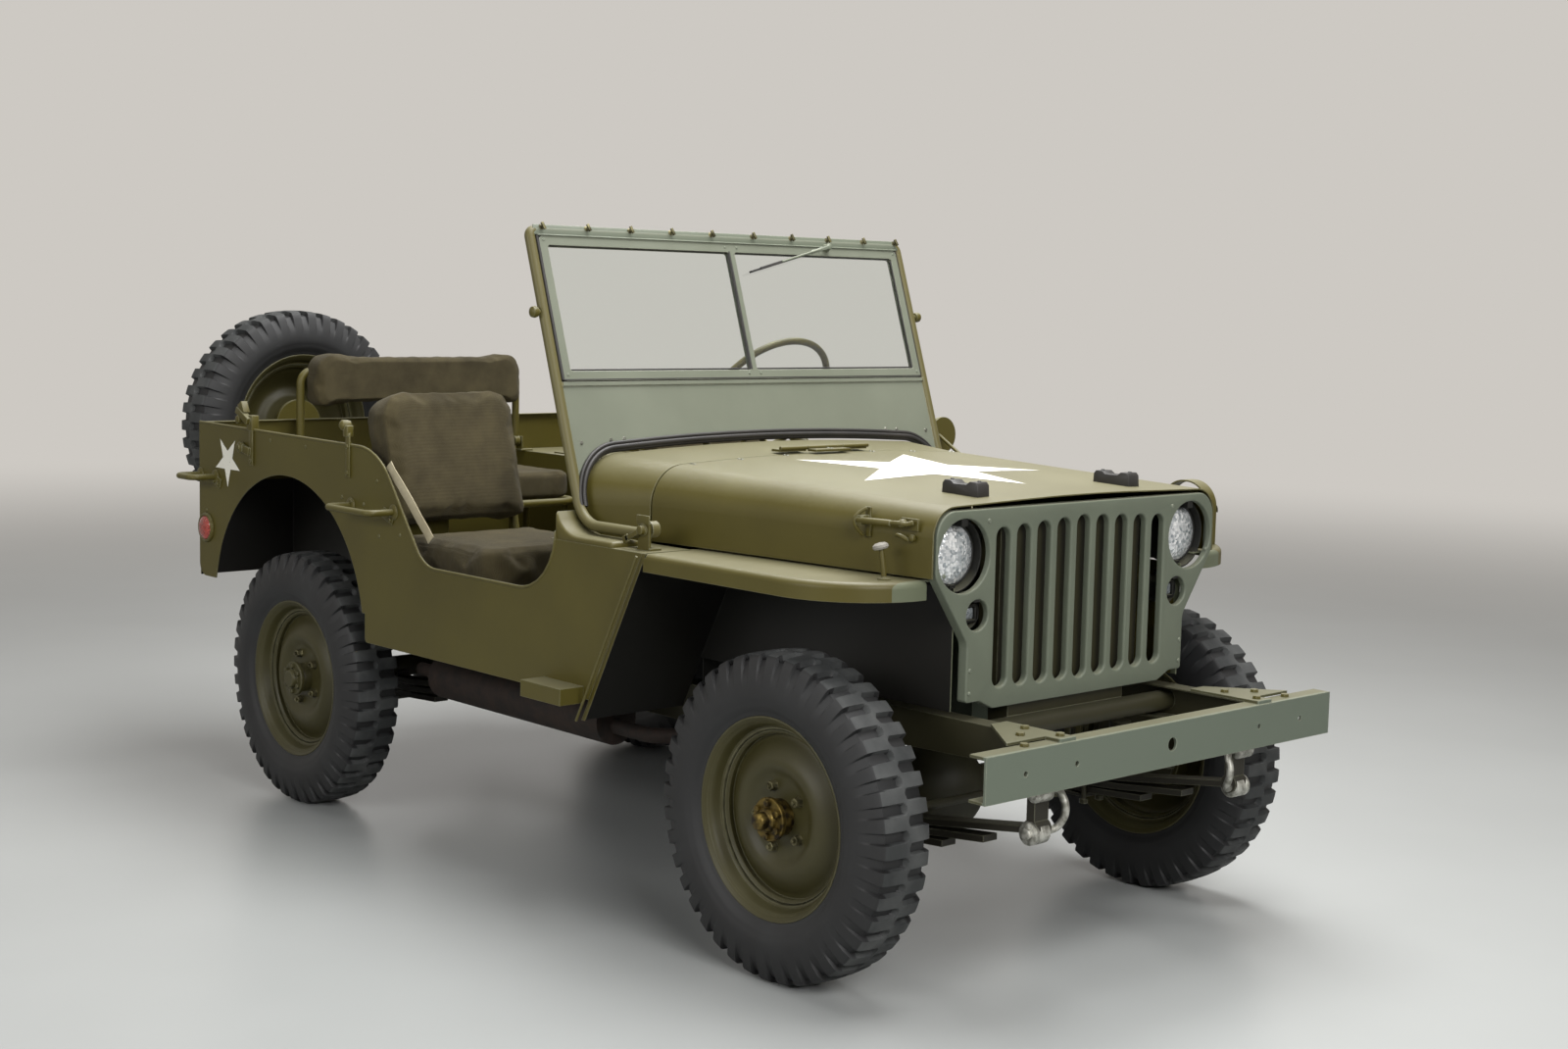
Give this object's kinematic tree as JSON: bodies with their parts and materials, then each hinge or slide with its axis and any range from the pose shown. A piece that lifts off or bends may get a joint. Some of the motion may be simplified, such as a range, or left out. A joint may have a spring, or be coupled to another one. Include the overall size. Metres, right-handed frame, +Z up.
{
  "type": "army 4x4 car",
  "caption": "Open army 4x4 car with a slotted flat grille, folding windshield, front seats, rear bench, spare wheel and leaf-sprung driven axles.",
  "frame": {"origin": "on the ground, half way along and across the car", "axes": "+X forward, +Y to the driver's left, +Z up"},
  "size_m": [3.3586, 1.575, 1.6367],
  "materials": {
    "olive_enamel": "semi-matt",
    "grey_green_enamel": "semi-matt",
    "chassis_black": "matt",
    "rusty_steel": "rough, rusted",
    "spring_steel": "oily",
    "tyre_rubber": "matt",
    "black_rubber": "matt",
    "canvas": "woven",
    "clear_glass": "polished",
    "lamp_glass": "fluted",
    "engine_green": "oily"
  },
  "bodies": {
    "chassis": {"bench_cushion": "canvas", "bench_frame": "olive_enamel", "blackout_lamp": "olive_enamel", "body_fittings": "olive_enamel", "chassis_frame": "chassis_black", "control_levers": "olive_enamel", "cowl": "olive_enamel", "dash_panel": "olive_enamel", "driver_back_pad": "canvas", "driver_cushion": "canvas", "driver_seat_frame": "olive_enamel", "engine_and_gearbox": "engine_green", "exhaust": "rusty_steel", "fender_left": "olive_enamel", "fender_right": "olive_enamel", "front_axle": "chassis_black", "front_bumper": "grey_green_enamel", "fuel_tank": "olive_enamel", "grille": "grey_green_enamel", "headlamps": "lamp_glass", "leaf_springs": "spring_steel", "mirror": "olive_enamel", "pivot_brackets": "olive_enamel", "prop_shafts": "chassis_black", "radiator": "chassis_black", "rear_axle": "chassis_black", "rear_bumperettes": "olive_enamel", "rear_panel": "olive_enamel", "spare_carrier": "olive_enamel", "steering_column": "olive_enamel", "tub_floor": "olive_enamel", "tub_side_left": "olive_enamel", "tub_side_right": "olive_enamel", "tyre_spare": "tyre_rubber", "wheel_spare": "olive_enamel", "wheelhouses": "olive_enamel"},
    "front_right_knuckle": {"knuckle_right": "chassis_black"},
    "front_left_knuckle": {"knuckle_left": "chassis_black"},
    "track_rod": {"tie_rod": "chassis_black"},
    "front_right_wheel": {"wheel_front_right": "olive_enamel", "tyre_front_right": "tyre_rubber"},
    "front_left_wheel": {"wheel_front_left": "olive_enamel", "tyre_front_left": "tyre_rubber"},
    "rear_right_wheel": {"wheel_rear_right": "olive_enamel", "tyre_rear_right": "tyre_rubber"},
    "rear_left_wheel": {"wheel_rear_left": "olive_enamel", "tyre_rear_left": "tyre_rubber"},
    "hood_lid": {"hood": "olive_enamel", "hood_blocks": "black_rubber"},
    "windshield": {"windshield_frame": "grey_green_enamel", "windshield_sash": "grey_green_enamel", "windshield_glass": "clear_glass"},
    "passenger_seat": {"passenger_seat_frame": "olive_enamel", "passenger_cushion": "canvas", "passenger_back_pad": "canvas"},
    "bench_back": {"bench_back_frame": "olive_enamel", "bench_back_pad": "canvas"},
    "steering": {"steering_wheel": "olive_enamel"}
  },
  "joints": [
    {"name": "steer_right", "type": "hinge", "parent": "chassis", "child": "front_right_knuckle", "pos_m": [1.1395, -0.505, 0.36], "axis": [0, 0, 1], "range_deg": [-26, 26]},
    {"name": "steer_left", "type": "hinge", "parent": "chassis", "child": "front_left_knuckle", "pos_m": [1.1395, 0.505, 0.36], "axis": [0, 0, 1], "range_deg": [-26, 26]},
    {"name": "track_rod_swing", "type": "hinge", "parent": "front_right_knuckle", "child": "track_rod", "pos_m": [1.2915, -0.505, 0.36], "axis": [0, 0, 1], "range_deg": [-26, 26]},
    {"name": "spin_front_right", "type": "hinge", "parent": "front_right_knuckle", "child": "front_right_wheel", "pos_m": [1.1395, -0.6225, 0.36], "axis": [0, 1, 0], "continuous": true},
    {"name": "spin_front_left", "type": "hinge", "parent": "front_left_knuckle", "child": "front_left_wheel", "pos_m": [1.1395, 0.6225, 0.36], "axis": [0, 1, 0], "continuous": true},
    {"name": "spin_rear_right", "type": "hinge", "parent": "chassis", "child": "rear_right_wheel", "pos_m": [-0.8925, -0.6225, 0.36], "axis": [0, 1, 0], "continuous": true},
    {"name": "spin_rear_left", "type": "hinge", "parent": "chassis", "child": "rear_left_wheel", "pos_m": [-0.8925, 0.6225, 0.36], "axis": [0, 1, 0], "continuous": true},
    {"name": "steering_wheel_turn", "type": "hinge", "parent": "chassis", "child": "steering", "pos_m": [-0.05, 0.345, 1.182], "axis": [-0.8192, 0, 0.5736], "range_deg": [-364, 364]},
    {"name": "hood_lift", "type": "hinge", "parent": "chassis", "child": "hood_lid", "pos_m": [0.565, 0, 1.101], "axis": [0, -1, 0], "range_deg": [0, 110]},
    {"name": "windshield_fold", "type": "hinge", "parent": "chassis", "child": "windshield", "pos_m": [0.664, 0, 0.937], "axis": [0, -1, 0], "range_deg": [-112, 0]},
    {"name": "passenger_seat_tip", "type": "hinge", "parent": "chassis", "child": "passenger_seat", "pos_m": [-0.016, -0.445, 0.547], "axis": [0, 1, 0], "range_deg": [0, 42]},
    {"name": "bench_back_fold", "type": "hinge", "parent": "chassis", "child": "bench_back", "pos_m": [-1.357, 0, 0.979], "axis": [0, 1, 0], "range_deg": [0, 75]}
  ],
  "couplings": [
    {"joint": "steer_left", "follows": "steer_right", "ratio": 1},
    {"joint": "track_rod_swing", "follows": "steer_right", "ratio": -1},
    {"joint": "steering_wheel_turn", "follows": "steer_right", "ratio": 14}
  ]
}
